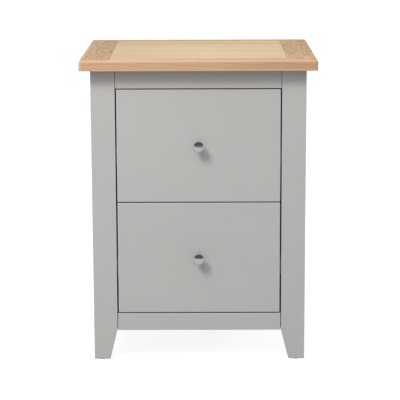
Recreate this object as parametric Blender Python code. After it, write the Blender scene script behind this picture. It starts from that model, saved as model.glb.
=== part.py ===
"""Two-drawer filing cabinet: a painted post-and-rail carcass, an oak top with cleated ends, and two
file drawers on ball-bearing slides.

Metres, +Z up. +X is to the right and -Y is the front, as someone facing the cabinet sees it. The origin
is on the floor, under the middle of the top. Left and right in the names are the viewer's.
"""

from math import cos, pi, radians, sin

import bmesh
import bpy
from mathutils import Vector

# Fits that repeat
SEAT = 0.0003  # between two pieces that are glued, screwed or resting on each other
REVEAL = 0.003  # round each drawer front
ARRIS = 0.001  # the small round that sanding leaves on a wooden edge
ARRIS_STEPS = 2

# How shapes are made
CUT_PAST = 0.010  # how far the knob's hole cutter runs past the drawer front on both sides
WELD = 1e-6  # points closer than this are one
PARALLEL = 0.999  # cosine of the angle up to which an edge runs along an axis
CREASE = radians(30)  # edges sharper than this are rounded on the posts
SMOOTH_UP_TO = radians(35)  # flatter edges are shaded smooth on turned pieces
ROUND_STEPS = 32
WAIST_STEPS = 4
FLARE_STEPS = 6
DOME_STEPS = 8
CROWN_STEPS = 5

# Carcass
BODY_WIDTH = 0.520
BODY_DEPTH = 0.4645
TOTAL_HEIGHT = 0.747
POST_WIDTH = 0.059
POST_DEPTH = 0.045
FOOT_WIDTH = 0.0395
FOOT_DEPTH = 0.030
FOOT_HEIGHT = 0.076  # where the taper starts and the lower rails end
RAIL_THICKNESS = 0.020
TOP_RAIL_HEIGHT = 0.0442
BOTTOM_RAIL_HEIGHT = 0.0425
SIDE_RAIL_HEIGHT = 0.055
SIDE_RECESS = 0.004  # side rails stand back from the posts
SIDE_PANEL_THICKNESS = 0.009
GROOVE_DEPTH = 0.008  # of the side panels in the posts and side rails
BACK_PANEL_THICKNESS = 0.006
BACK_REBATE = 0.008
BACK_MARGIN = 0.002
BOTTOM_PANEL_THICKNESS = 0.009
BATTEN_THICKNESS = 0.022
BATTEN_HEIGHT = 0.060
GLIDE_DIAMETER = 0.020
GLIDE_HEIGHT = 0.002

# Oak top
TOP_THICKNESS = 0.0255
SIDE_OVERHANG = 0.0255
FRONT_OVERHANG = 0.0255
REAR_OVERHANG = 0.010
LIPPING_THICKNESS = 0.008  # along the whole front edge
CLEAT_WIDTH = 0.072
FRONT_BOARD_WIDTH = 0.042
REAR_BOARD_WIDTH = 0.116
TOP_ROUND = 0.005  # the soft upper edge all round
TOP_ROUND_STEPS = 4
TONGUE_LENGTH = 0.012
TONGUE_THICKNESS = 0.008
TONGUE_STOP = 0.020  # the tongue ends short of the front and the back, so that it doesn't show

# Slides, 45 mm full-extension
SLIDE_LENGTH = 0.400
SLIDE_HEIGHT = 0.045
SLIDE_THICKNESS = 0.0127
SLIDE_SHEET = 0.0012
SLIDE_PLAY = 0.00035
BALL_SPACE = 0.0034
SLIDE_SETBACK = 0.002  # behind the back of the drawer front
SLIDE_CENTRE = 0.110  # above the lower edge of the drawer front

# Drawers
FRONT_THICKNESS = 0.020
BOX_THICKNESS = 0.012
BOX_BOTTOM_THICKNESS = 0.006
BOX_LIFT = 0.008  # the box stands above the lower edge of the front
BOX_DROP = 0.012  # and ends below its upper edge
BOX_GROOVE_DEPTH = 0.006
BOX_GROOVE_LIFT = 0.006
FILE_RAIL_SPACING = 0.330  # A4 suspension files
FILE_RAIL_THICKNESS = 0.0025
FILE_RAIL_HEIGHT = 0.020
FILE_RAIL_TAB = 0.009

# Knobs and their screws
KNOB_DIAMETER = 0.027
KNOB_PROJECTION = 0.0225
KNOB_DOME = 0.0065  # how far the face rises from the rim
KNOB_RIM = 0.0015
KNOB_FLARE = 0.0055  # the underside, from the neck out to the rim
KNOB_NECK_DIAMETER = 0.010
KNOB_BASE_DIAMETER = 0.015
KNOB_BASE_HEIGHT = 0.002
KNOB_BORE_DEPTH = 0.010
SCREW_DIAMETER = 0.004
SCREW_CLEARANCE = 0.0004  # on the radius, in the knob and in the drawer front
SCREW_GRIP = 0.008  # length inside the knob
SCREW_HEAD_DIAMETER = 0.009
SCREW_HEAD_HEIGHT = 0.0028

# Planes that follow from the sizes
TOP_DEPTH = FRONT_OVERHANG + BODY_DEPTH + REAR_OVERHANG
TOP_FRONT = -TOP_DEPTH / 2
TOP_REAR = TOP_DEPTH / 2
LIPPING_REAR = TOP_FRONT + LIPPING_THICKNESS
TOP_SIDE = BODY_WIDTH / 2 + SIDE_OVERHANG
TOP_UNDERSIDE = TOTAL_HEIGHT - TOP_THICKNESS
BODY_FRONT = TOP_FRONT + FRONT_OVERHANG
BODY_REAR = BODY_FRONT + BODY_DEPTH
BODY_SIDE = BODY_WIDTH / 2
SOLE = GLIDE_HEIGHT + SEAT
CARCASS_TOP = TOP_UNDERSIDE - SEAT
POST_INNER = BODY_SIDE - POST_WIDTH
FRONT_POST_REAR = BODY_FRONT + POST_DEPTH
REAR_POST_FRONT = BODY_REAR - POST_DEPTH
OPENING_BOTTOM = FOOT_HEIGHT + BOTTOM_RAIL_HEIGHT
OPENING_TOP = CARCASS_TOP - TOP_RAIL_HEIGHT
BACK_PANEL_FRONT = BODY_REAR - BACK_PANEL_THICKNESS
REAR_RAIL_REAR = BACK_PANEL_FRONT - SEAT
FRONT_RAIL_REAR = BODY_FRONT + RAIL_THICKNESS
LOW_RAIL_TOP = OPENING_BOTTOM - BOTTOM_PANEL_THICKNESS - SEAT  # the bottom panel rests on these rails
SIDE_RAIL_OUTER = BODY_SIDE - SIDE_RECESS
SIDE_RAIL_INNER = SIDE_RAIL_OUTER - RAIL_THICKNESS
PANEL_INNER = (SIDE_RAIL_OUTER + SIDE_RAIL_INNER - SIDE_PANEL_THICKNESS) / 2
PANEL_OUTER = PANEL_INNER + SIDE_PANEL_THICKNESS
SIDE_RAIL_UNDERSIDE = CARCASS_TOP - SIDE_RAIL_HEIGHT

FRONT_REAR = BODY_FRONT + FRONT_THICKNESS
SLIDE_FRONT = FRONT_REAR + SLIDE_SETBACK
SLIDE_REAR = SLIDE_FRONT + SLIDE_LENGTH
SLIDE_SPACE = SLIDE_THICKNESS + 2 * SEAT
BOX_SIDE = POST_INNER - SLIDE_SPACE
BOX_INNER = BOX_SIDE - BOX_THICKNESS
BOX_REAR = SLIDE_REAR - SLIDE_SETBACK
BACK_FRONT = BOX_REAR - BOX_THICKNESS

LEVELS = ("lower", "upper")
FRONT_HEIGHT = (OPENING_TOP - OPENING_BOTTOM - (len(LEVELS) + 1) * REVEAL) / len(LEVELS)
SIDES = (("left", -1), ("right", 1))


def clear_scene():
    for old in list(bpy.data.objects):
        bpy.data.objects.remove(old)


def finish(name, colour, roughness, metallic=0.0):
    """A plain finish: linear colour, roughness and metallic value."""
    material = bpy.data.materials.new(name)
    material.use_nodes = True
    shader = material.node_tree.nodes["Principled BSDF"]
    shader.inputs["Base Color"].default_value = (*colour, 1.0)
    shader.inputs["Roughness"].default_value = roughness
    shader.inputs["Metallic"].default_value = metallic
    material.diffuse_color = (*colour, 1.0)
    return material


def add_piece(name, shape, centre, material, carrier=None, smooth=False):
    """Makes an object of a bmesh modelled round its own centre, and puts it in its place."""
    bmesh.ops.recalc_face_normals(shape, faces=shape.faces[:])
    mesh = bpy.data.meshes.new(name)
    shape.to_mesh(mesh)
    shape.free()
    if smooth:
        mesh.shade_smooth()
        mesh.set_sharp_from_angle(angle=SMOOTH_UP_TO)
    piece = bpy.data.objects.new(name, mesh)
    bpy.context.scene.collection.objects.link(piece)
    if material:
        mesh.materials.append(material)
    piece.location = centre
    if carrier:
        piece.parent = carrier
        piece.location = Vector(centre) - carrier.location
    return piece


def round_edges(shape, edges, width, steps):
    bmesh.ops.bevel(
        shape, geom=edges, offset=width, offset_type="OFFSET", segments=steps,
        profile=0.5, affect="EDGES", clamp_overlap=True, material=-1,
    )


def sharp_edges(shape):
    return [edge for edge in shape.edges if edge.calc_face_angle(0.0) > CREASE]


def block_shape(low, high):
    """A plain box round its own centre, and where that centre goes."""
    low, high = Vector(low), Vector(high)
    shape = bmesh.new()
    bmesh.ops.create_cube(shape, size=1.0)
    bmesh.ops.scale(shape, vec=high - low, verts=shape.verts[:])
    return shape, (low + high) / 2


def add_block(name, low, high, material, carrier=None, arris=ARRIS):
    shape, centre = block_shape(low, high)
    if arris:
        round_edges(shape, shape.edges[:], arris, ARRIS_STEPS)
    return add_piece(name, shape, centre, material, carrier)


def runs_along(edge, direction):
    run = edge.verts[1].co - edge.verts[0].co
    return abs(run.normalized().dot(direction)) > PARALLEL


def add_prism(name, outline, axis, start, end, material, carrier=None, arris=0):
    """Extrudes an outline along Y, where its points are (x, z), or along Z, where they are (x, y)."""
    along = Vector((0, 1, 0)) if axis == "Y" else Vector((0, 0, 1))
    middle = along * (start + end) / 2
    shape = bmesh.new()
    for across, up in outline:
        point = Vector((across, 0, up)) if axis == "Y" else Vector((across, up, 0))
        shape.verts.new(point - along * (end - start) / 2)
    shape.faces.new(shape.verts[:])
    grown = bmesh.ops.extrude_face_region(shape, geom=shape.faces[:])["geom"]
    moved = [part for part in grown if isinstance(part, bmesh.types.BMVert)]
    bmesh.ops.translate(shape, vec=along * (end - start), verts=moved)
    if arris:
        bmesh.ops.recalc_face_normals(shape, faces=shape.faces[:])
        long_edges = [edge for edge in shape.edges if edge.is_convex and runs_along(edge, along)]
        round_edges(shape, long_edges, arris, ARRIS_STEPS)
    return add_piece(name, shape, middle, material, carrier)


def turned_shape(profile, axis):
    """Turns (radius, distance) points into a solid about the local Y or Z axis."""
    along = Vector((0, -1, 0)) if axis == "Y" else Vector((0, 0, 1))
    shape = bmesh.new()
    ring = [shape.verts.new(Vector((radius, 0, 0)) + along * distance) for radius, distance in profile]
    for first, second in zip(ring, ring[1:]):
        shape.edges.new((first, second))
    bmesh.ops.spin(
        shape, geom=shape.verts[:] + shape.edges[:], cent=(0, 0, 0), axis=along,
        angle=2 * pi, steps=ROUND_STEPS, use_merge=True,
    )
    bmesh.ops.remove_doubles(shape, verts=shape.verts[:], dist=WELD)
    return shape


def ellipse_points(centre, radii, start, end, steps):
    """Points of an elliptical arc, angles in degrees."""
    angles = [radians(start + (end - start) * step / steps) for step in range(steps + 1)]
    return [(centre[0] + radii[0] * cos(a), centre[1] + radii[1] * sin(a)) for a in angles]


def combine(piece, tool, operation):
    """Cuts a tool object from a piece, or joins it on, and keeps the tool out of the model."""
    tool.hide_render = True
    tool.display_type = "WIRE"
    change = piece.modifiers.new(tool.name, "BOOLEAN")
    change.object = tool
    change.operation = operation
    change.solver = "EXACT"


def cut_block(piece, name, low, high):
    combine(piece, add_block(name, low, high, None, arris=0), "DIFFERENCE")


def span(side, first, second):
    """Two distances from the middle, as low and high x on the left or right side."""
    return sorted((side * first, side * second))


def add_top(oak):
    """Three boards side by side, held flat by a cleat across each end and lipped along the front."""
    add_top_board("top_lipping_front", -TOP_SIDE, TOP_SIDE, TOP_FRONT, LIPPING_REAR - SEAT, oak)
    board_side = TOP_SIDE - CLEAT_WIDTH - SEAT
    front_joint = LIPPING_REAR + FRONT_BOARD_WIDTH
    rear_joint = TOP_REAR - REAR_BOARD_WIDTH
    boards = (
        ("top_board_front", LIPPING_REAR, front_joint),
        ("top_board_middle", front_joint + SEAT, rear_joint - SEAT),
        ("top_board_rear", rear_joint, TOP_REAR),
    )
    tongue_low = TOP_UNDERSIDE + (TOP_THICKNESS - TONGUE_THICKNESS) / 2
    tongue_side = board_side + TONGUE_LENGTH
    for name, front, rear in boards:
        board = add_top_board(name, -board_side, board_side, front, rear, oak)
        tongue = add_block(
            name + "_tongue",
            (-tongue_side, max(front, TOP_FRONT + TONGUE_STOP + SEAT), tongue_low),
            (tongue_side, min(rear, TOP_REAR - TONGUE_STOP - SEAT), tongue_low + TONGUE_THICKNESS),
            None,
            arris=0,
        )
        combine(board, tongue, "UNION")
    groove_side = TOP_SIDE - CLEAT_WIDTH + TONGUE_LENGTH
    for side_name, side in SIDES:
        inner, outer = span(side, TOP_SIDE - CLEAT_WIDTH, TOP_SIDE)
        cleat = add_top_board("top_cleat_" + side_name, inner, outer, LIPPING_REAR, TOP_REAR, oak)
        inner, outer = span(side, board_side - SEAT, groove_side)
        cut_block(
            cleat,
            "cleat_groove_" + side_name,
            (inner, TOP_FRONT + TONGUE_STOP, tongue_low - SEAT),
            (outer, TOP_REAR - TONGUE_STOP, tongue_low + TONGUE_THICKNESS + SEAT),
        )


def add_top_board(name, left, right, front, rear, oak):
    """A board of the top, with the soft upper edge and the corners where it lies on the rim of the top."""
    shape, centre = block_shape((left, front, TOP_UNDERSIDE), (right, rear, TOTAL_HEIGHT))

    def rims(edge):
        """Whether the edge's middle is near the side rim, near the front or rear rim, and its height."""
        middle = (edge.verts[0].co + edge.verts[1].co) / 2 + centre
        return TOP_SIDE - abs(middle.x) < TOP_ROUND, TOP_REAR - abs(middle.y) < TOP_ROUND, middle.z

    upper_and_corners = []
    for edge in shape.edges:
        at_side, at_end, height = rims(edge)
        upper = height > TOTAL_HEIGHT - ARRIS
        corner = TOP_UNDERSIDE + ARRIS < height < TOTAL_HEIGHT - ARRIS
        if (upper and (at_side or at_end)) or (corner and at_side and at_end):
            upper_and_corners.append(edge)
    round_edges(shape, upper_and_corners, TOP_ROUND, TOP_ROUND_STEPS)
    lower = []
    for edge in shape.edges:
        at_side, at_end, height = rims(edge)
        if height < TOP_UNDERSIDE + SEAT and (at_side or at_end):
            lower.append(edge)
    round_edges(shape, lower, ARRIS, ARRIS_STEPS)
    return add_piece(name, shape, centre, oak)


def add_post(name, side, front, paint):
    """A corner post that runs down as a foot, tapered on its two inner faces."""
    rear = front + POST_DEPTH
    inner, outer = span(side, POST_INNER, BODY_SIDE)
    shape, centre = block_shape((inner, front, SOLE), (outer, rear, CARCASS_TOP))
    bmesh.ops.bisect_plane(
        shape,
        geom=shape.verts[:] + shape.edges[:] + shape.faces[:],
        plane_co=(0, 0, FOOT_HEIGHT - centre.z),
        plane_no=(0, 0, 1),
    )
    inward = 1 if front == BODY_FRONT else -1
    for vertex in shape.verts:
        if vertex.co.z + centre.z > SOLE + SEAT:
            continue
        if vertex.co.x * side < 0:
            vertex.co.x += side * (POST_WIDTH - FOOT_WIDTH)
        if vertex.co.y * inward > 0:
            vertex.co.y -= inward * (POST_DEPTH - FOOT_DEPTH)
    round_edges(shape, sharp_edges(shape), ARRIS, ARRIS_STEPS)
    return add_piece(name, shape, centre, paint)


def add_posts(paint):
    for side_name, side in SIDES:
        inner, outer = span(side, PANEL_INNER - SEAT, PANEL_OUTER + SEAT)
        groove_bottom = LOW_RAIL_TOP - GROOVE_DEPTH
        beyond = CARCASS_TOP + GROOVE_DEPTH
        post = add_post("post_front_" + side_name, side, BODY_FRONT, paint)
        cut_block(
            post,
            "front_post_groove_" + side_name,
            (inner, FRONT_POST_REAR - GROOVE_DEPTH, groove_bottom),
            (outer, FRONT_POST_REAR + GROOVE_DEPTH, beyond),
        )
        post = add_post("post_rear_" + side_name, side, REAR_POST_FRONT, paint)
        cut_block(
            post,
            "rear_post_groove_" + side_name,
            (inner, REAR_POST_FRONT - GROOVE_DEPTH, groove_bottom),
            (outer, REAR_POST_FRONT + GROOVE_DEPTH, beyond),
        )
        inner, outer = span(side, POST_INNER - BACK_REBATE, POST_INNER + BACK_REBATE)
        cut_block(
            post,
            "rear_post_rebate_" + side_name,
            (inner, BACK_PANEL_FRONT - SEAT, FOOT_HEIGHT),
            (outer, BODY_REAR + BACK_REBATE, beyond),
        )


def add_front_and_rear_rails(paint):
    reach = POST_INNER - SEAT
    rear = REAR_RAIL_REAR
    rails = (
        ("rail_front_top", BODY_FRONT, OPENING_TOP, CARCASS_TOP),
        ("rail_front_bottom", BODY_FRONT, FOOT_HEIGHT, OPENING_BOTTOM),
        ("rail_rear_top", rear - RAIL_THICKNESS, OPENING_TOP, CARCASS_TOP),
        ("rail_rear_bottom", rear - RAIL_THICKNESS, FOOT_HEIGHT, LOW_RAIL_TOP),
    )
    for name, front, low, high in rails:
        add_block(name, (-reach, front, low), (reach, front + RAIL_THICKNESS, high), paint)


def grooved_rail(side, low, high, groove_up):
    """Outline of a side rail, with the side panel's groove in its upper or its lower edge."""
    outline = [
        (SIDE_RAIL_INNER, low), (SIDE_RAIL_INNER, high), (PANEL_INNER - SEAT, high),
        (PANEL_INNER - SEAT, high - GROOVE_DEPTH), (PANEL_OUTER + SEAT, high - GROOVE_DEPTH),
        (PANEL_OUTER + SEAT, high), (SIDE_RAIL_OUTER, high), (SIDE_RAIL_OUTER, low),
    ]
    if not groove_up:
        outline = [(across, low + high - up) for across, up in outline]
    return [(side * across, up) for across, up in outline]


def add_sides(paint):
    """On each side, two rails between the posts and a flat panel held in the grooves all round."""
    front = FRONT_POST_REAR + SEAT
    rear = REAR_POST_FRONT - SEAT
    for side_name, side in SIDES:
        lower = grooved_rail(side, FOOT_HEIGHT, LOW_RAIL_TOP, groove_up=True)
        add_prism("side_rail_bottom_" + side_name, lower, "Y", front, rear, paint, arris=ARRIS)
        upper = grooved_rail(side, SIDE_RAIL_UNDERSIDE, CARCASS_TOP, groove_up=False)
        add_prism("side_rail_top_" + side_name, upper, "Y", front, rear, paint, arris=ARRIS)
        inner, outer = span(side, PANEL_INNER, PANEL_OUTER)
        held = GROOVE_DEPTH - SEAT
        add_block(
            "side_panel_" + side_name,
            (inner, FRONT_POST_REAR - held, LOW_RAIL_TOP - held),
            (outer, REAR_POST_FRONT + held, SIDE_RAIL_UNDERSIDE + held),
            paint,
        )


def add_back_and_bottom(board, paint):
    """A back let into the rear posts, and a bottom on the low rails, notched round the four posts."""
    reach = POST_INNER + BACK_REBATE - SEAT
    add_block(
        "back_panel",
        (-reach, BACK_PANEL_FRONT, FOOT_HEIGHT + BACK_MARGIN),
        (reach, BODY_REAR, CARCASS_TOP - BACK_MARGIN),
        paint,
    )
    half = (
        (POST_INNER - SEAT, FRONT_RAIL_REAR + SEAT),
        (POST_INNER - SEAT, FRONT_POST_REAR + SEAT),
        (PANEL_INNER - SEAT, FRONT_POST_REAR + SEAT),
        (PANEL_INNER - SEAT, REAR_POST_FRONT - SEAT),
        (POST_INNER - SEAT, REAR_POST_FRONT - SEAT),
        (POST_INNER - SEAT, REAR_RAIL_REAR),
    )
    outline = list(half) + [(-across, along) for across, along in reversed(half)]
    add_prism("bottom_panel", outline, "Z", LOW_RAIL_TOP + SEAT, OPENING_BOTTOM, board)


def front_bottom(level):
    """Height of the lower edge of a drawer front."""
    return OPENING_BOTTOM + REVEAL + LEVELS.index(level) * (FRONT_HEIGHT + REVEAL)


def slide_height(level):
    return front_bottom(level) + SLIDE_CENTRE


def add_battens(timber):
    """A batten for each slide, from post to post, flush with their inner faces."""
    for level in LEVELS:
        middle = slide_height(level)
        for side_name, side in SIDES:
            inner, outer = span(side, POST_INNER, POST_INNER + BATTEN_THICKNESS)
            add_block(
                f"runner_batten_{level}_{side_name}",
                (inner, FRONT_POST_REAR + SEAT, middle - BATTEN_HEIGHT / 2),
                (outer, REAR_POST_FRONT - SEAT, middle + BATTEN_HEIGHT / 2),
                timber,
            )


def add_glides(plastic):
    """A thin round glide under the middle of each foot."""
    radius = GLIDE_DIAMETER / 2
    profile = (
        (0, 0), (radius - ARRIS, 0), (radius, ARRIS), (radius, GLIDE_HEIGHT), (0, GLIDE_HEIGHT),
    )
    for side_name, side in SIDES:
        for end, along in (
            ("front", BODY_FRONT + FOOT_DEPTH / 2),
            ("rear", BODY_REAR - FOOT_DEPTH / 2),
        ):
            centre = (side * (BODY_SIDE - FOOT_WIDTH / 2), along, 0)
            shape = turned_shape(profile, "Z")
            add_piece(f"foot_glide_{end}_{side_name}", shape, centre, plastic, smooth=True)


def add_carrier(name, level):
    """The point that a sliding group follows, on the line of its slides."""
    carrier = bpy.data.objects.new(name, None)
    carrier.empty_display_size = SLIDE_HEIGHT
    carrier.location = (0, SLIDE_FRONT, slide_height(level))
    bpy.context.scene.collection.objects.link(carrier)
    return carrier


def lipped_channel(web, mouth, half_height, lip):
    """Outline of a channel bent from sheet, its edges turned in at the mouth. Points are (depth, height)."""
    sheet = SLIDE_SHEET if mouth > web else -SLIDE_SHEET
    upper = [
        (web, half_height), (mouth, half_height), (mouth, half_height - lip),
        (mouth - sheet, half_height - lip), (mouth - sheet, half_height - SLIDE_SHEET),
        (web + sheet, half_height - SLIDE_SHEET),
    ]
    return upper + [(depth, -height) for depth, height in reversed(upper)]


def add_slides(level, middle_carrier, drawer_carrier, steel):
    """Three nested members a side: one on the posts and batten, one between, one on the drawer."""
    step = SLIDE_SHEET + BALL_SPACE
    outer_half = SLIDE_HEIGHT / 2
    lip = step - SLIDE_PLAY
    nest = SLIDE_SHEET + SLIDE_PLAY
    mouth = SLIDE_THICKNESS - nest
    members = (
        ("outer", 0, mouth - nest, outer_half, lip, None),
        ("middle", nest, mouth, outer_half - step, lip, middle_carrier),
        ("inner", SLIDE_THICKNESS, 2 * nest, outer_half - 2 * step, lip, drawer_carrier),
    )
    height = slide_height(level)
    for side_name, side in SIDES:
        for member, web, end, half_height, member_lip, carrier in members:
            outline = [
                (side * (POST_INNER - SEAT - depth), height + up)
                for depth, up in lipped_channel(web, end, half_height, member_lip)
            ]
            name = f"{level}_slide_{member}_{side_name}"
            add_prism(name, outline, "Y", SLIDE_FRONT, SLIDE_REAR, steel, carrier)


def add_drawer_box(level, carrier, timber, ply):
    """Two sides and a back on a bottom held in grooves, fixed to the back of the drawer front."""
    low = front_bottom(level) + BOX_LIFT
    high = front_bottom(level) + FRONT_HEIGHT - BOX_DROP
    bottom_low = low + BOX_GROOVE_LIFT
    bottom_high = bottom_low + BOX_BOTTOM_THICKNESS
    box_front = FRONT_REAR + SEAT
    for side_name, side in SIDES:
        outline = (
            (BOX_SIDE, low), (BOX_SIDE, high), (BOX_INNER, high), (BOX_INNER, bottom_high + SEAT),
            (BOX_INNER + BOX_GROOVE_DEPTH, bottom_high + SEAT),
            (BOX_INNER + BOX_GROOVE_DEPTH, bottom_low - SEAT), (BOX_INNER, bottom_low - SEAT),
            (BOX_INNER, low),
        )
        outline = [(side * across, up) for across, up in outline]
        name = f"{level}_drawer_side_{side_name}"
        add_prism(name, outline, "Y", box_front, BOX_REAR, timber, carrier, arris=ARRIS)
    reach = BOX_INNER - SEAT
    add_block(
        f"{level}_drawer_back",
        (-reach, BACK_FRONT, bottom_high + SEAT),
        (reach, BOX_REAR, high),
        timber,
        carrier,
    )
    reach = BOX_INNER + BOX_GROOVE_DEPTH - SEAT
    add_block(
        f"{level}_drawer_bottom",
        (-reach, box_front, bottom_low),
        (reach, BOX_REAR, bottom_high),
        ply,
        carrier,
        arris=0,
    )


def add_file_rails(level, carrier, steel):
    """Flat bars on edge, bent outwards at both ends into tabs that are screwed to the front and back."""
    front = FRONT_REAR + SEAT
    rear = BACK_FRONT - SEAT
    inner = FILE_RAIL_SPACING / 2 - FILE_RAIL_THICKNESS / 2
    outer = inner + FILE_RAIL_THICKNESS
    tab = inner + FILE_RAIL_TAB
    high = front_bottom(level) + FRONT_HEIGHT - BOX_DROP
    outline = (
        (inner, front), (tab, front), (tab, front + FILE_RAIL_THICKNESS),
        (outer, front + FILE_RAIL_THICKNESS), (outer, rear - FILE_RAIL_THICKNESS),
        (tab, rear - FILE_RAIL_THICKNESS), (tab, rear), (inner, rear),
    )
    for side_name, side in SIDES:
        mirrored = [(side * across, along) for across, along in outline]
        name = f"{level}_file_rail_{side_name}"
        add_prism(name, mirrored, "Z", high - FILE_RAIL_HEIGHT, high, steel, carrier)


def knob_profile():
    """A base, a waist and a domed head, with a blind hole for the screw. (radius, distance) points."""
    bore = SCREW_DIAMETER / 2 + SCREW_CLEARANCE
    neck = KNOB_NECK_DIAMETER / 2
    base = KNOB_BASE_DIAMETER / 2
    head = KNOB_DIAMETER / 2
    rim_top = KNOB_PROJECTION - KNOB_DOME
    rim_bottom = rim_top - KNOB_RIM
    flare_start = rim_bottom - KNOB_FLARE
    swept = min(base - neck, flare_start - KNOB_BASE_HEIGHT)
    hole = [(0, KNOB_BORE_DEPTH), (bore, KNOB_BORE_DEPTH), (bore, 0), (base, 0)]
    waist = ellipse_points((base, KNOB_BASE_HEIGHT + swept), (base - neck, swept), 270, 180, WAIST_STEPS)
    underside = ellipse_points((head, flare_start), (head - neck, KNOB_FLARE), 180, 90, FLARE_STEPS)
    dome = ellipse_points((0, rim_top), (head, KNOB_DOME), 0, 90, DOME_STEPS)
    return hole + waist + underside + dome[:-1] + [(0, KNOB_PROJECTION)]


def screw_profile():
    """A pan-head machine screw, from the top of its head to its tip. (radius, distance) points."""
    shank = SCREW_DIAMETER / 2
    head = SCREW_HEAD_DIAMETER / 2
    length = SCREW_HEAD_HEIGHT + SEAT + FRONT_THICKNESS + SEAT + SCREW_GRIP
    crown = ellipse_points((0, SCREW_HEAD_HEIGHT), (head, SCREW_HEAD_HEIGHT), 270, 360, CROWN_STEPS)
    return [(0, 0)] + crown[1:] + [(shank, SCREW_HEAD_HEIGHT), (shank, length), (0, length)]


def add_front(level, carrier, paint, chrome, steel):
    """The drawer front, its knob, and the screw that holds the knob from inside."""
    low = front_bottom(level)
    reach = POST_INNER - REVEAL
    middle = low + FRONT_HEIGHT / 2
    front = add_block(
        f"{level}_drawer_front",
        (-reach, BODY_FRONT, low),
        (reach, FRONT_REAR, low + FRONT_HEIGHT),
        paint,
        carrier,
    )
    bore = SCREW_DIAMETER / 2 + SCREW_CLEARANCE
    reach = FRONT_THICKNESS + 2 * CUT_PAST
    hole = turned_shape(((0, 0), (bore, 0), (bore, reach), (0, reach)), "Y")
    tool = add_piece(f"{level}_knob_hole", hole, (0, FRONT_REAR + CUT_PAST, middle), None, carrier)
    combine(front, tool, "DIFFERENCE")
    knob = turned_shape(knob_profile(), "Y")
    add_piece(f"{level}_knob", knob, (0, BODY_FRONT - SEAT, middle), chrome, carrier, smooth=True)
    screw = turned_shape(screw_profile(), "Y")
    head_rear = FRONT_REAR + SEAT + SCREW_HEAD_HEIGHT
    add_piece(f"{level}_knob_screw", screw, (0, head_rear, middle), steel, carrier, smooth=True)


def build():
    clear_scene()
    oak = finish("oak_lacquered", (0.72, 0.53, 0.34), 0.45)
    paint = finish("grey_paint", (0.48, 0.475, 0.46), 0.5)
    timber = finish("drawer_timber", (0.66, 0.52, 0.36), 0.6)
    ply = finish("drawer_plywood", (0.70, 0.57, 0.41), 0.6)
    steel = finish("zinc_steel", (0.58, 0.58, 0.57), 0.35, 1.0)
    chrome = finish("polished_chrome", (0.80, 0.80, 0.79), 0.08, 1.0)
    plastic = finish("glide_plastic", (0.35, 0.34, 0.33), 0.5)
    add_top(oak)
    add_posts(paint)
    add_front_and_rear_rails(paint)
    add_sides(paint)
    add_back_and_bottom(ply, paint)
    add_battens(timber)
    add_glides(plastic)
    for level in LEVELS:
        drawer = add_carrier(f"{level}_drawer_travel", level)
        middle = add_carrier(f"{level}_slide_travel", level)
        add_slides(level, middle, drawer, steel)
        add_drawer_box(level, drawer, timber, ply)
        add_file_rails(level, drawer, steel)
        add_front(level, drawer, paint, chrome, steel)


build()
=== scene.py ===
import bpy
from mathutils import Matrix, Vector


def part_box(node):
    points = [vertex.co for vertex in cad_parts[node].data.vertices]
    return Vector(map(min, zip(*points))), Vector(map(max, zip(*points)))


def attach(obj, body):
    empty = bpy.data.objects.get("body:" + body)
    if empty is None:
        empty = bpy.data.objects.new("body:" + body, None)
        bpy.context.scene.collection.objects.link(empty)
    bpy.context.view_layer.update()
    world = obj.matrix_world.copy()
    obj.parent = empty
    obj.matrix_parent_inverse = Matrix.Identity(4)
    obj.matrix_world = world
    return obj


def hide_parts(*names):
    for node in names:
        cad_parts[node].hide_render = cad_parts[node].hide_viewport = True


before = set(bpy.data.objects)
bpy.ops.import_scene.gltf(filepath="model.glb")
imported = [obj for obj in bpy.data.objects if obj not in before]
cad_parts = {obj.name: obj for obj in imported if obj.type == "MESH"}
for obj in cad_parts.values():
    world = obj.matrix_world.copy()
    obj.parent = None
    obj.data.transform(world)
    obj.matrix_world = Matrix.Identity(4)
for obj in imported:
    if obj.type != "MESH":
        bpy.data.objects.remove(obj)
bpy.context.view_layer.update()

import zlib
from math import cos, pi, radians, sin

import bmesh
import bpy
from mathutils import Matrix, Vector


# Corner posts
#
# Four solid posts run from the top down to the floor as tapered feet. They are planed square, sanded to a
# small round on every edge and sprayed in satin paint, through which a little of the grain still shows.

X_AXIS, Y_AXIS, Z_AXIS = range(3)
SIDES = (("left", -1), ("right", 1))


class Amount:
    """A value that varies over a surface. Arithmetic on it adds Math nodes to its finish."""

    def __init__(self, finish, socket):
        self.finish = finish
        self.socket = socket

    def __add__(self, other):
        return self.finish.maths("ADD", self, other)

    def __sub__(self, other):
        return self.finish.maths("SUBTRACT", self, other)

    def __rsub__(self, other):
        return self.finish.maths("SUBTRACT", other, self)

    def __mul__(self, other):
        return self.finish.maths("MULTIPLY", self, other)

    def __truediv__(self, other):
        return self.finish.maths("DIVIDE", self, other)

    __radd__ = __add__
    __rmul__ = __mul__


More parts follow.
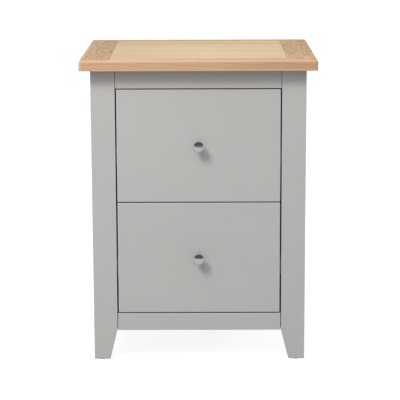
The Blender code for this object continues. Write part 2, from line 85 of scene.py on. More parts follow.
class Finish:
    """The nodes of one finish, for a piece that was sawn or rolled along an axis.

    The seed shifts its noise, so that no two pieces are alike.
    """

    def __init__(self, owner, seed="", axis=X_AXIS):
        owner.use_nodes = True
        self.owner = owner
        self.tree = owner.node_tree
        self.axis = axis
        number = zlib.crc32(seed.encode())
        self.shift = Vector((number % 97, number % 89, number % 83))

    def join(self, value, socket):
        if isinstance(value, Amount):
            self.tree.links.new(value.socket, socket)
        elif socket.type == "RGBA":
            socket.default_value = (*value, 1.0)
        else:
            socket.default_value = value

    def node(self, kind, settings, sockets, output=0):
        """Adds a node with its settings, then its sockets' values or links, and gives one output."""
        made = self.tree.nodes.new(kind)
        for name, value in settings.items():
            setattr(made, name, value)
        for name, value in sockets.items():
            self.join(value, self.find(made.inputs, name))
        return Amount(self, self.find(made.outputs, output))

    def find(self, sockets, name):
        if isinstance(name, int):
            return sockets[name]
        return next(socket for socket in sockets if socket.enabled and socket.name == name)

    def maths(self, operation, *inputs):
        return self.node("ShaderNodeMath", {"operation": operation}, dict(enumerate(inputs)))

    def vector(self, operation, *inputs, output="Vector"):
        settings = {"operation": operation}
        return self.node("ShaderNodeVectorMath", settings, dict(enumerate(inputs)), output)

    def place(self):
        return self.node("ShaderNodeTexCoord", {}, {}, "Object")

    def split(self, vector):
        first = self.node("ShaderNodeSeparateXYZ", {}, {"Vector": vector})
        return [Amount(self, socket) for socket in first.socket.node.outputs]

    def point(self, x, y, z):
        return self.node("ShaderNodeCombineXYZ", {}, {"X": x, "Y": y, "Z": z})

    def noise(self, across, along, detail):
        """Noise of so many waves a metre across and along the grain, from 0 to 1."""
        scale = [across] * 3
        scale[self.axis] = along
        spot = self.node(
            "ShaderNodeMapping", {}, {"Vector": self.place(), "Location": self.shift, "Scale": scale},
        )
        return self.node(
            "ShaderNodeTexNoise", {}, {"Vector": spot, "Scale": 1.0, "Detail": detail}, "Fac",
        )

    def fade(self, value, start, end, first=0.0, last=1.0):
        """Goes smoothly from the first number to the last as the value goes from start to end."""
        return self.node(
            "ShaderNodeMapRange", {"interpolation_type": "SMOOTHSTEP"},
            {"Value": value, "From Min": start, "From Max": end, "To Min": first, "To Max": last},
        )

    def blend(self, first, second, share):
        sockets = {"Factor": share, "A": first, "B": second}
        return self.node("ShaderNodeMix", {"data_type": "RGBA"}, sockets, "Result")

    def from_edge(self, low, high):
        """Distance on a piece's surface to the nearest edge of the box that it fills."""
        reach = self.vector("ABSOLUTE", self.vector("SUBTRACT", self.place(), (low + high) / 2))
        x, y, z = self.split(self.vector("SUBTRACT", (high - low) / 2, reach))
        lesser, greater = self.maths("MINIMUM", x, y), self.maths("MAXIMUM", x, y)
        return self.maths("MAXIMUM", lesser, self.maths("MINIMUM", greater, z))

    def bump(self, height, depth):
        return self.node("ShaderNodeBump", {}, {"Distance": depth, "Height": height})

    def surface(self, sockets):
        for name, value in sockets.items():
            self.join(value, self.tree.nodes["Principled BSDF"].inputs[name])
        return self.owner


def new_finish(kind, name, axis=None):
    """A finish along an axis, or else along the longest side of the CAD node of that name."""
    if axis is None:
        low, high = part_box(name)
        axis = max(range(3), key=lambda side: (high - low)[side])
    return Finish(bpy.data.materials.new(f"{kind}_{name}"), name, axis)


def dress(name, material):
    """Gives a CAD node its finish in place of the plain one."""
    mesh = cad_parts[name].data
    mesh.materials.clear()
    mesh.materials.append(material)


PAINT = (0.470, 0.464, 0.450)
PAINT_LIGHT = (0.489, 0.484, 0.470)
# pale edges: wear, and a painted highlight along the sanded arrises
PAINT_WORN_AND_HIGHLIT = (0.62, 0.61, 0.59)
PAINT_SCUFFED = (0.40, 0.385, 0.36)
# painted shade, with some dust, for the joints between posts and rails
PAINT_JOINT_SHADE_AND_DUST = (0.10, 0.095, 0.09)
ARRIS = 0.001  # width of the sanded edges
SCUFF_HEIGHT = 0.014

post_face_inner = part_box("rail_front_top")[1].x


def painted(name, doweled=False):
    """Satin paint, scuffed near the floor, pale at the edges with wear and a painted highlight, and dark
    with painted shade and dust where a post and a rail meet.
    """
    finish = new_finish("satin_paint", name)
    cloud = finish.fade(finish.noise(7, 3, 3), 0.3, 0.7)
    brushed = finish.noise(420, 9, 3)
    grain = finish.noise(210, 5, 3)
    peel = finish.noise(640, 640, 1)
    from_edge = finish.from_edge(*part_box(name)) + 0.0008 * brushed
    near_edge = finish.fade(from_edge, ARRIS, 2.2 * ARRIS, 1, 0)
    across, _, height = finish.split(finish.place())
    scuffed = finish.fade(height + 0.012 * finish.noise(90, 90, 3), 0.0, SCUFF_HEIGHT, 0.5, 0)
    colour = finish.blend(PAINT, PAINT_LIGHT, 0.55 * cloud + 0.45 * grain)
    # Pale sanded edges: partly wear, partly a painted highlight where the arrises catch the light.
    colour = finish.blend(colour, PAINT_WORN_AND_HIGHLIT, 0.6 * near_edge)
    # With doweled set: painted shade with some dust, a dark line where a rail meets a post and over the
    # whole inner face of each post beside the drawers.
    if doweled:
        from_joint = finish.maths("ABSOLUTE", finish.maths("ABSOLUTE", across) - post_face_inner)
        joint_shade_and_dust = finish.fade(from_joint + 0.0004 * brushed, 0.6 * ARRIS, 1.5 * ARRIS, 0.85, 0)
        colour = finish.blend(colour, PAINT_JOINT_SHADE_AND_DUST, joint_shade_and_dust)
    colour = finish.blend(colour, PAINT_SCUFFED, scuffed)
    return finish.surface({
        "Base Color": colour,
        "Roughness": 0.47 + 0.10 * brushed - 0.10 * near_edge + 0.05 * cloud,
        "Specular IOR Level": 0.4,
        "Normal": finish.bump(0.5 * peel + 0.3 * brushed + 0.4 * grain, 0.00012),
    })


for end in ("front", "rear"):
    for side, _ in SIDES:
        dress(f"post_{end}_{side}", painted(f"post_{end}_{side}", doweled=True))


# Front and rear rails
#
# A rail above and a rail below the drawers, doweled between the posts at the front and again at the rear.
# They are of the same wood as the posts and painted with them.

for end in ("front", "rear"):
    for height in ("top", "bottom"):
        dress(f"rail_{end}_{height}", painted(f"rail_{end}_{height}", doweled=True))


# Sides
#
# On each side two rails are doweled between the posts, and a flat panel is held loose in grooves in all
# four of them. The whole side is painted.

for side, _ in SIDES:
    for name in (f"side_rail_top_{side}", f"side_rail_bottom_{side}", f"side_panel_{side}"):
        dress(name, painted(name))


# Back panel
#
# A painted board, let into rebates in the rear posts and lapped over the rear rails. Small screws with a
# low domed head and a cross recess hold it all round.

PANEL_SCREW_RADIUS = 0.0025
PANEL_SCREW_PROUD = 0.0005
PANEL_SCREW_INSET = 0.0042  # from the side edges, over the rebates
PANEL_SCREW_HEIGHTS = (0.12, 0.27, 0.42, 0.57, 0.69)
PANEL_RAIL_SCREWS = (-0.12, 0.0, 0.12)
HEAD_SIDES = 12  # three to each quarter of the cross
HEAD_STEPS = ((0.0, 0.55, 1.0), (0.55, 0.9, 0.85), (0.9, 1.0, 0.74), (1.0, 0.45, 0.86))
CROSS_PINCH = 0.36  # share of their radius that the corners between the arms of the cross keep
SHARP_ANGLE = 35
ZINC_GREY = (0.60, 0.60, 0.60)
ZINC_BRIGHT = (0.70, 0.71, 0.72)
ZINC_HANDLED = (0.50, 0.49, 0.47)
ZINC_CELLS = 260.0  # a metre


def screw_head(shape, centre, outward, radius, height):
    """A domed head with a cross recess, seated on a surface at its centre.

    Each step goes from one share of the height to another, and narrows. The last one sinks the cross.
    """
    old = set(shape.verts)
    bmesh.ops.create_circle(
        shape, cap_ends=True, segments=HEAD_SIDES, radius=radius,
        matrix=Matrix.Rotation(pi / HEAD_SIDES, 4, "Z"),
    )
    top = next(face for face in shape.faces if not old.intersection(face.verts))
    for below, above, narrower in HEAD_STEPS:
        top = grow(shape, top, (above - below) * height, narrower)
        if above == 1.0:
            for corner in top.verts:
                if abs(abs(corner.co.x) - abs(corner.co.y)) < 0.1 * radius:
                    corner.co.xy *= CROSS_PINCH
    made = [vertex for vertex in shape.verts if vertex not in old]
    turn = Vector((0, 0, 1)).rotation_difference(Vector(outward)).to_matrix().to_4x4()
    bmesh.ops.transform(shape, matrix=Matrix.Translation(centre) @ turn, verts=made)


def grow(shape, face, rise, narrower):
    """Extrudes a flat face along Z and draws it in towards the middle. Gives the new face.

    The old face stays only if it stood alone, as the end of the solid, because its edges are given too.
    """
    grown = bmesh.ops.extrude_face_region(shape, geom=[face, *face.edges])["geom"]
    moved = [part for part in grown if isinstance(part, bmesh.types.BMVert)]
    bmesh.ops.translate(shape, vec=(0, 0, rise), verts=moved)
    bmesh.ops.scale(shape, vec=(narrower, narrower, 1), verts=moved)
    return next(part for part in grown if isinstance(part, bmesh.types.BMFace))


def add_piece(name, shape, material, body):
    """Makes an object of a bmesh that stands in its place, and lets it ride on a body."""
    bmesh.ops.recalc_face_normals(shape, faces=shape.faces[:])
    mesh = bpy.data.meshes.new(name)
    shape.to_mesh(mesh)
    shape.free()
    mesh.materials.append(material)
    mesh.shade_smooth()
    mesh.set_sharp_from_angle(angle=radians(SHARP_ANGLE))
    piece = bpy.data.objects.new(name, mesh)
    bpy.context.scene.collection.objects.link(piece)
    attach(piece, body)
    return piece


def zinc(finish, rough=0.30):
    """Bright zinc on steel: faint cells, rolling lines, and dull spots where it was handled."""
    cells = finish.node(
        "ShaderNodeTexVoronoi", {"feature": "F1"},
        {"Vector": finish.vector("ADD", finish.place(), finish.shift), "Scale": ZINC_CELLS}, "Color",
    )
    cell = finish.split(cells)[0]
    rolled = finish.noise(1500, 14, 2)
    dull = finish.fade(finish.noise(55, 30, 4), 0.45, 0.7)
    colour = finish.blend(ZINC_GREY, ZINC_BRIGHT, 0.5 * cell + 0.5 * rolled)
    return finish.surface({
        "Base Color": finish.blend(colour, ZINC_HANDLED, 0.35 * dull),
        "Metallic": 1.0,
        "Roughness": rough + 0.06 * cell + 0.08 * rolled + 0.10 * dull,
        "Normal": finish.bump(0.6 * rolled + 0.3 * cell, 0.00004),
    })


dress("back_panel", painted("back_panel"))
low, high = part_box("back_panel")
shape = bmesh.new()
for _, side in SIDES:
    for height in PANEL_SCREW_HEIGHTS:
        spot = (side * (high.x - PANEL_SCREW_INSET), high.y, height)
        screw_head(shape, spot, (0, 1, 0), PANEL_SCREW_RADIUS, PANEL_SCREW_PROUD)
for rail in ("rail_rear_top", "rail_rear_bottom"):
    rail_low, rail_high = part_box(rail)
    for across in PANEL_RAIL_SCREWS:
        spot = (across, high.y, (max(rail_low.z, low.z) + min(rail_high.z, high.z)) / 2)
        screw_head(shape, spot, (0, 1, 0), PANEL_SCREW_RADIUS, PANEL_SCREW_PROUD)
screw_zinc = zinc(new_finish("zinc", "back_screws", X_AXIS))
add_piece("back_panel_screws", shape, screw_zinc, "carcass")


# Bottom panel
#
# A plywood board that lies on the four lower rails, notched round the posts. Its faces are sanded birch and
# its edges show the plies.

PLY = 0.0015  # thickness of one ply
BIRCH = (0.66, 0.52, 0.36)
BIRCH_PALE = (0.74, 0.62, 0.46)
PLY_ALONG = (0.70, 0.56, 0.39)
PLY_ACROSS = (0.42, 0.30, 0.19)


def plywood(name):
    finish = new_finish("plywood", name, X_AXIS)
    facing = finish.split(finish.node("ShaderNodeTexCoord", {}, {}, "Normal"))[Z_AXIS]
    on_edge = finish.fade(finish.maths("ABSOLUTE", facing), 0.4, 0.6, 1, 0)
    height = finish.split(finish.place())[Z_AXIS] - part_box(name)[0].z
    layer = finish.maths("PINGPONG", height, PLY) / PLY
    crossed = finish.fade(layer, 0.42, 0.58)
    flame = finish.noise(26, 3.5, 4)
    flame = finish.fade(finish.maths("FRACT", 7 * flame), 0.1, 0.9)
    fibre = finish.noise(700, 22, 3)
    face = finish.blend(BIRCH, BIRCH_PALE, 0.35 * flame + 0.65 * fibre)
    edge = finish.blend(PLY_ALONG, PLY_ACROSS, crossed * (0.6 + 0.5 * fibre))
    return finish.surface({
        "Base Color": finish.blend(face, edge, on_edge),
        "Roughness": 0.55 + 0.15 * fibre,
        "Normal": finish.bump(fibre - 0.4 * crossed * on_edge, 0.00008),
    })


dress("bottom_panel", plywood("bottom_panel"))


# Battens for the slides
#
# Four battens of pale timber, glued and screwed between the front and rear posts flush with their inner
# faces, so that each slide has wood behind its whole length.

LEVELS = ("lower", "upper")
TIMBER_PALE = (0.70, 0.54, 0.36)
TIMBER_WARM = (0.62, 0.45, 0.28)
TIMBER_LATE = (0.50, 0.32, 0.17)
TIMBER_RUBBED = (0.76, 0.62, 0.45)
TIMBER_RING = 0.0045  # growth of a year


def from_heart(finish, heart, wander, lean):
    """Distance from the heart of the tree, a line that wanders and leans. Growth rings run round it."""
    axis = finish.axis
    spot = finish.split(finish.place())
    across = spot[Y_AXIS if axis == X_AXIS else X_AXIS]
    up = spot[Y_AXIS if axis == Z_AXIS else Z_AXIS]
    drift = finish.noise(7, 2.2, 2) - 0.5
    sway = finish.noise(38, 13, 2) - 0.5
    radius = finish.vector(
        "LENGTH",
        finish.point(across - heart[0] + wander * drift, up - heart[1] + lean * spot[axis], 0.0),
        output="Value",
    )
    return radius + 0.3 * wander * sway


def timber(name):
    finish = new_finish("pale_timber", name)
    low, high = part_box(name)
    if finish.axis == X_AXIS:
        heart = ((low.y + high.y) / 2 + 0.01, low.z - 0.05)
    else:
        heart = (low.x - 0.06, high.z + 0.02)
    year = finish.maths("FRACT", from_heart(finish, heart, 0.03, 0.03) / TIMBER_RING)
    late = finish.fade(year, 0.55, 1.0)
    fibre = finish.noise(620, 14, 3)
    streak = finish.fade(finish.noise(55, 1.6, 3), 0.3, 0.7)
    colour = finish.blend(TIMBER_PALE, TIMBER_WARM, 0.6 * streak + 0.4 * fibre)
    colour = finish.blend(colour, TIMBER_LATE, 0.45 * late)
    near_edge = finish.fade(finish.from_edge(low, high), 0.5 * ARRIS, 2 * ARRIS, 1, 0)
    return finish.surface({
        "Base Color": finish.blend(colour, TIMBER_RUBBED, 0.3 * near_edge),
        "Roughness": 0.50 + 0.12 * fibre - 0.08 * late,
        "Normal": finish.bump(0.6 * fibre - 0.4 * late, 0.0001),
    })


for level in LEVELS:
    for side, _ in SIDES:
        dress(f"runner_batten_{level}_{side}", timber(f"runner_batten_{level}_{side}"))


# Drawer slides
#
# Full-extension slides, three channels bent from zinc-plated steel strip. The outer one is screwed to the
# posts and batten, the middle one runs between, and the inner one is screwed to the drawer side.

SLIDE_SHEET = 0.0012

for level in LEVELS:
    for member in ("outer", "middle", "inner"):
        for side, _ in SIDES:
            name = f"{level}_slide_{member}_{side}"
            dress(name, zinc(new_finish("zinc_strip", name)))


# Balls and cages
#
# Between the channels run rows of hard steel balls, held apart by thin bent steel strips. The outer cages
# sit at the rear of the middle channel and the inner cages at its front, where both neighbours overlap it.

BALL_PLAY = 0.0001
BALL_STEP = 0.011
BALL_SEGMENTS = 10
BALL_RINGS = 6
BALLS_IN_ROW = 10
CAGE_STRIP = 0.0004
CAGE_HALF_WIDTH = 0.0026
CAGE_LIP = 0.0008
CAGE_END = 0.006  # strip past the last ball
OUTER_CAGE_REAR = 0.010  # from the rear end of the middle channel
INNER_CAGE_FRONT = 0.010  # from its front end
STEEL = (0.62, 0.62, 0.61)
STEEL_SMEARED = (0.48, 0.46, 0.42)


def strip(shape, outline, front, rear):
    """Extrudes an outline of (x, z) points along Y."""
    face = shape.faces.new([shape.verts.new((across, front, up)) for across, up in outline])
    grown = bmesh.ops.extrude_face_region(shape, geom=[face])["geom"]
    moved = [part for part in grown if isinstance(part, bmesh.types.BMVert)]
    bmesh.ops.translate(shape, vec=(0, rear - front, 0), verts=moved)


def cage_outline(across, up, upward):
    """A flat strip with both edges turned away from the middle channel."""
    half = CAGE_STRIP / 2
    points = (
        (-CAGE_HALF_WIDTH, -half), (CAGE_HALF_WIDTH, -half), (CAGE_HALF_WIDTH, CAGE_LIP),
        (CAGE_HALF_WIDTH - CAGE_STRIP, CAGE_LIP), (CAGE_HALF_WIDTH - CAGE_STRIP, half),
        (CAGE_STRIP - CAGE_HALF_WIDTH, half), (CAGE_STRIP - CAGE_HALF_WIDTH, CAGE_LIP),
        (-CAGE_HALF_WIDTH, CAGE_LIP),
    )
    return [(across + x, up + upward * z) for x, z in points]


def hard_steel(name):
    finish = Finish(bpy.data.materials.new(name), name, Y_AXIS)
    smear = finish.fade(finish.noise(300, 300, 3), 0.35, 0.7)
    return finish.surface({
        "Base Color": finish.blend(STEEL, STEEL_SMEARED, 0.5 * smear),
        "Metallic": 1.0,
        "Roughness": 0.12 + 0.15 * smear,
    })


for level in LEVELS:
    for side, _ in SIDES:
        outer_low, outer_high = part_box(f"{level}_slide_outer_{side}")
        middle_low, middle_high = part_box(f"{level}_slide_middle_{side}")
        inner_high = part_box(f"{level}_slide_inner_{side}")[1]
        axis_height = (outer_low.z + outer_high.z) / 2
        length = (BALLS_IN_ROW - 1) * BALL_STEP + 2 * CAGE_END
        rows = (
            (outer_low, outer_high, middle_high.z, middle_high.y - OUTER_CAGE_REAR - length),
            (middle_low, middle_high, inner_high.z, middle_low.y + INNER_CAGE_FRONT),
        )
        cages = bmesh.new()
        balls = bmesh.new()
        for around_low, around_high, seat, start in rows:
            across = (around_low.x + around_high.x) / 2
            ceiling = around_high.z - SLIDE_SHEET
            rise = (seat + ceiling) / 2 - axis_height
            for upward in (-1, 1):
                up = axis_height + upward * rise
                strip(cages, cage_outline(across, up, upward), start, start + length)
                for count in range(BALLS_IN_ROW):
                    centre = (across, start + CAGE_END + count * BALL_STEP, up)
                    bmesh.ops.create_uvsphere(
                        balls, u_segments=BALL_SEGMENTS, v_segments=BALL_RINGS,
                        radius=(ceiling - seat) / 2 - BALL_PLAY, matrix=Matrix.Translation(centre),
                    )
        body = f"{level}_slide_middle"
        name = f"{level}_ball_cages_{side}"
        add_piece(name, cages, zinc(new_finish("zinc", name, Y_AXIS)), body)
        name = f"{level}_slide_balls_{side}"
        add_piece(name, balls, hard_steel("steel_" + name), body)


# Drawer boxes
#
# Two sides and a back of pale timber with a plywood bottom in grooves, glued and screwed behind the drawer
# front. The inner slide channels are screwed to the sides with three pan-head screws each.

SLIDE_SCREW_RADIUS = 0.0030
SLIDE_SCREW_HEIGHT = 0.0016
SLIDE_SCREW_INSETS = (0.028, 0.200, 0.372)  # from the front end of the channel

for level in LEVELS:
    for part in ("side_left", "side_right", "back"):
        dress(f"{level}_drawer_{part}", timber(f"{level}_drawer_{part}"))
    dress(f"{level}_drawer_bottom", plywood(f"{level}_drawer_bottom"))
    shape = bmesh.new()
    for side, outward in SIDES:
        low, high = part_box(f"{level}_slide_inner_{side}")
        web = (low.x if outward > 0 else high.x) + outward * SLIDE_SHEET
        for inset in SLIDE_SCREW_INSETS:
            spot = (web, low.y + inset, (low.z + high.z) / 2)
            screw_head(shape, spot, (outward, 0, 0), SLIDE_SCREW_RADIUS, SLIDE_SCREW_HEIGHT)
    name = f"{level}_slide_screws"
    screw_zinc = zinc(new_finish("zinc", name, X_AXIS))
    add_piece(name, shape, screw_zinc, f"{level}_drawer")


# Rails for suspension files
#
# Flat zinc-plated bars stand on edge along both sides of each drawer. Both ends are bent outwards as tabs,
# each held by one small screw to the drawer front or the drawer back.

TAB_SCREW_RADIUS = 0.0024
TAB_SCREW_HEIGHT = 0.0014
TAB_SCREW_INSET = 0.0033  # from the free edge of the tab
FILE_RAIL_THICKNESS = 0.0025

for level in LEVELS:
    shape = bmesh.new()
    for side, outward in SIDES:
        name = f"{level}_file_rail_{side}"
        dress(name, zinc(new_finish("zinc_bar", name), 0.26))
        low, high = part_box(name)
        across = (high.x if outward > 0 else low.x) - outward * TAB_SCREW_INSET
        for surface, facing in ((low.y + FILE_RAIL_THICKNESS, 1), (high.y - FILE_RAIL_THICKNESS, -1)):
            spot = (across, surface, (low.z + high.z) / 2)
            screw_head(shape, spot, (0, facing, 0), TAB_SCREW_RADIUS, TAB_SCREW_HEIGHT)
    name = f"{level}_file_rail_screws"
    screw_zinc = zinc(new_finish("zinc", name, X_AXIS))
    add_piece(name, shape, screw_zinc, f"{level}_drawer")


# Drawer fronts
#
# Flat painted boards, one above the other with an even gap all round. The box behind each is screwed to it
# from inside.

for level in LEVELS:
    dress(f"{level}_drawer_front", painted(f"{level}_drawer_front"))


# Knobs
#
# One round knob in the middle of each drawer front, turned from brass, polished and chromed: a small foot,
# a waist and a broad domed head. A machine screw from inside the drawer holds it.

KNOB_STEPS = 96
KNOB_RADIUS = 0.0135
KNOB_DOME = 0.0065
KNOB_RIM = 0.0015
KNOB_RIM_ROUND = 0.0004
KNOB_FLARE = 0.0055
KNOB_WAIST_RADIUS = 0.005
KNOB_FOOT_RADIUS = 0.0075
KNOB_FOOT_HEIGHT = 0.002
KNOB_BORE_RADIUS = 0.0024
KNOB_BORE_DEPTH = 0.010
CHROME = (0.60, 0.60, 0.59)
CHROME_HAZY = (0.53, 0.52, 0.50)


def arc(centre, radii, start, end, steps):
    """Points of an elliptical arc, angles in degrees."""
    angles = [radians(start + (end - start) * step / steps) for step in range(steps + 1)]
    return [(centre[0] + radii[0] * cos(angle), centre[1] + radii[1] * sin(angle)) for angle in angles]


def knob_profile(projection):
    """From the end of the screw's hole, over the foot, waist and rim, to the middle of the dome.

    The arcs end a few degrees early where a small facet leads on to the next part.
    """
    rim_top = projection - KNOB_DOME
    rim_bottom = rim_top - KNOB_RIM
    flare = rim_bottom - KNOB_FLARE
    sweep = min(KNOB_FOOT_RADIUS - KNOB_WAIST_RADIUS, flare - KNOB_FOOT_HEIGHT)
    hole = [(0, KNOB_BORE_DEPTH), (KNOB_BORE_RADIUS, KNOB_BORE_DEPTH), (KNOB_BORE_RADIUS, 0)]
    foot_round = (KNOB_FOOT_RADIUS - KNOB_RIM_ROUND, KNOB_FOOT_HEIGHT - KNOB_RIM_ROUND)
    foot = [(KNOB_FOOT_RADIUS, 0)] + arc(foot_round, (KNOB_RIM_ROUND, KNOB_RIM_ROUND), 0, 90, 4)
    waist_radii = (KNOB_FOOT_RADIUS - KNOB_WAIST_RADIUS, sweep)
    waist = arc((KNOB_FOOT_RADIUS, KNOB_FOOT_HEIGHT + sweep), waist_radii, 262, 180, 14)
    under = arc((KNOB_RADIUS, flare), (KNOB_RADIUS - KNOB_WAIST_RADIUS, KNOB_FLARE), 180, 94, 18)
    rim = [(KNOB_RADIUS, rim_bottom + KNOB_RIM_ROUND)]
    dome = arc((0, rim_top), (KNOB_RADIUS, KNOB_DOME), 0, 88, 30)
    return hole + foot + waist + under + rim + dome + [(0, projection)]


def turned(profile, steps, seat, forward):
    """Turns (radius, distance) points about the Y axis through a seat, forward or back along it."""
    shape = bmesh.new()
    along = Vector((0, forward, 0))
    ring = [shape.verts.new(Vector((radius, 0, 0)) + along * distance) for radius, distance in profile]
    for first, second in zip(ring, ring[1:]):
        shape.edges.new((first, second))
    bmesh.ops.spin(
        shape, geom=shape.verts[:] + shape.edges[:], cent=(0, 0, 0), axis=along,
        angle=2 * pi, steps=steps, use_merge=True,
    )
    bmesh.ops.remove_doubles(shape, verts=shape.verts[:], dist=1e-6)
    bmesh.ops.translate(shape, vec=seat, verts=shape.verts[:])
    return shape


def chrome(name):
    finish = new_finish("chrome", name, X_AXIS)
    haze = finish.fade(finish.noise(240, 240, 4), 0.42, 0.75)
    polish = finish.noise(1800, 1800, 1)
    return finish.surface({
        "Base Color": finish.blend(CHROME, CHROME_HAZY, 0.5 * haze),
        "Metallic": 1.0,
        "Roughness": 0.07 + 0.07 * haze + 0.02 * polish,
        "Normal": finish.bump(polish, 0.000004),
    })


for level in LEVELS:
    low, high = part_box(f"{level}_knob")
    seat = Vector(((low.x + high.x) / 2, high.y, (low.z + high.z) / 2))
    shape = turned(knob_profile(high.y - low.y), KNOB_STEPS, seat, -1)
    knob_chrome = chrome(f"{level}_knob")
    knob = add_piece(f"{level}_turned_knob", shape, knob_chrome, f"{level}_drawer")
    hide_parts(f"{level}_knob")


# Knob screws
#
# A zinc-plated pan-head machine screw through each drawer front, driven from inside the drawer.

KNOB_SCREW_RADIUS = 0.0045
KNOB_SCREW_HEAD = 0.0028
KNOB_SCREW_SHANK = 0.002
KNOB_SCREW_TIP = 0.0014
KNOB_SCREW_TAPER = 0.001
KNOB_SCREW_STEPS = 24

for level in LEVELS:
    low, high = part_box(f"{level}_knob_screw")
    across, height = (low.x + high.x) / 2, (low.z + high.z) / 2
    under_head = high.y - KNOB_SCREW_HEAD
    length = under_head - low.y
    tip = [(0, 0), (KNOB_SCREW_TIP, 0), (KNOB_SCREW_SHANK, KNOB_SCREW_TAPER)]
    profile = tip + [(KNOB_SCREW_SHANK, length), (0, length)]
    shape = turned(profile, KNOB_SCREW_STEPS, Vector((across, low.y, height)), 1)
    screw_head(shape, (across, under_head, height), (0, 1, 0), KNOB_SCREW_RADIUS, KNOB_SCREW_HEAD)
    name = f"{level}_knob_screw"
    screw_zinc = zinc(new_finish("zinc", name, X_AXIS))
    screw = add_piece(f"{level}_machine_screw", shape, screw_zinc, f"{level}_drawer")
    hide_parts(name)


# Oak top
#
# Three oak boards are glued edge to edge, held flat by a cleat across each end and lipped along the whole
# front. The upper edge is sanded soft all round and the wood is sealed in satin lacquer.

OAK_STRAW = (0.685, 0.512, 0.307)
OAK_HONEY = (0.587, 0.415, 0.234)
OAK_TAN = (0.49, 0.308, 0.166)
OAK_AMBER = (0.585, 0.385, 0.200)
OAK_PEACH = (0.635, 0.360, 0.198)
OAK_ROSE = (0.55, 0.365, 0.252)
OAK_DARK = (0.235, 0.132, 0.059)
# pale edges: wear, and on the lipping a painted highlight along its rounded arris
OAK_WORN_AND_HIGHLIT = (0.62, 0.432, 0.283)


def oak(name, light, deep, heart, width=0.0035, contrast=0.45, wander=0.05, lean=0.05, bands=24,
        flecks=(290, 15, 0.0), dull=(X_AXIS, 0.0, 1.0, 0.0), worn=(0.0025, 0.12)):
    """Oak sawn along its longest side: bands, growth rings, flecks, pores and rays.

    Its rings are so wide, and bands so many a metre. The flecks are so many a metre across and along,
    and so strong. The wood gets darker along an axis, from one place to another, by a share. Its edges
    are paled to a depth, by a share: wear, and on the lipping a painted highlight on the rounded arris as
    well.
    """
    finish = new_finish("lacquered_oak", name)
    low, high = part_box(name)
    across, along, strength = flecks
    axis, start, end, share = dull
    year = finish.maths("FRACT", from_heart(finish, heart, wander, lean) / width)
    early = finish.fade(year, 0.0, 0.45, 1, 0)
    pores = finish.fade(finish.noise(950, 26, 2), 0.50, 0.64)
    fibre = finish.noise(420, 7, 3)
    band = finish.fade(finish.noise(bands, 1.1, 3), 0.34, 0.66)
    ray = finish.fade(finish.noise(230, 60, 1), 0.68, 0.80)
    fleck = finish.fade(finish.noise(across, along, 1), 0.42, 0.58, 0, strength)
    # The wood gets darker along an axis, from one place to another, by a share.
    darkening = finish.fade(finish.split(finish.place())[axis], start, end, 0, share)
    colour = finish.blend(light, deep, 0.7 * band + 0.3 * fibre)
    colour = finish.blend(colour, OAK_DARK, contrast * early * (0.35 + 0.65 * pores))
    colour = finish.blend(colour, OAK_DARK, fleck)
    colour = finish.blend(colour, light, 0.25 * ray)
    colour = finish.blend(colour, OAK_DARK, darkening)
    # Pale edges: wear on every board; on the front lipping, paled deep and strongly, also a painted
    # highlight along the rounded arris.
    near_edge = finish.fade(finish.from_edge(low, high), 0.0, worn[0], worn[1], 0)
    return finish.surface({
        "Base Color": finish.blend(colour, OAK_WORN_AND_HIGHLIT, near_edge),
        "Roughness": 0.50 + 0.12 * early * pores + 0.08 * fibre,
        "Specular IOR Level": 0.18,
        "Normal": finish.bump(0.4 * fibre - early * pores, 0.00015),
    })


dress("top_board_front", oak("top_board_front", OAK_HONEY, OAK_TAN, (-0.22, 0.64)))
dress("top_board_middle", oak(
    "top_board_middle", OAK_STRAW, OAK_HONEY, (0.02, 0.58), contrast=0.15,
    dull=(X_AXIS, 0.05, -0.2, 0.2),
))
dress("top_board_rear", oak(
    "top_board_rear", OAK_STRAW, OAK_TAN, (0.25, 0.66), contrast=0.2, dull=(Y_AXIS, 0.205, 0.235, 0.38),
))
dress("top_cleat_left", oak(
    "top_cleat_left", OAK_HONEY, OAK_TAN, (-0.245, 0.69), width=0.006, contrast=0.2,
    wander=0.09, lean=0.12, bands=30, flecks=(480, 40, 0.66), dull=(Y_AXIS, -0.2, 0.1, 0.12),
))
dress("top_cleat_right", oak(
    "top_cleat_right", OAK_AMBER, OAK_TAN, (0.255, 0.67), width=0.008, contrast=0.2,
    wander=0.07, lean=0.09, bands=30, flecks=(140, 22, 0.36), dull=(Y_AXIS, -0.22, -0.05, 0.2),
))
# The lipping's deep, strong pale edges are a painted highlight on its rounded arris, with some wear.
dress("top_lipping_front", oak(
    "top_lipping_front", OAK_PEACH, OAK_ROSE, (-0.33, 0.69), width=0.0042, contrast=0.3,
    wander=0.02, lean=0.015, bands=130, dull=(X_AXIS, 0.0, 0.2, 0.17), worn=(0.008, 0.8),
))


# Foot glides
#
# Thin round discs of grey moulded plastic, pressed into the sole of each foot.

PLASTIC = (0.37, 0.36, 0.35)
PLASTIC_WORN = (0.46, 0.45, 0.43)


def glide_plastic(name):
    finish = new_finish("moulded_plastic", name, Z_AXIS)
    texture = finish.noise(900, 900, 2)
    worn = finish.fade(finish.noise(160, 160, 3), 0.45, 0.65)
    return finish.surface({
        "Base Color": finish.blend(PLASTIC, PLASTIC_WORN, 0.6 * worn + 0.3 * texture),
        "Roughness": 0.45 + 0.2 * worn,
        "Normal": finish.bump(texture, 0.00006),
    })


for end in ("front", "rear"):
    for side, _ in SIDES:
        dress(f"foot_glide_{end}_{side}", glide_plastic(f"foot_glide_{end}_{side}"))


# Studio
#
# The cabinet stands on a pale floor in front of white, in a dim white room. A soft box high on the left, a
# wide panel high in front and a weak soft box low behind light it. Only reflections show the dark wall and
# ceiling behind the camera.

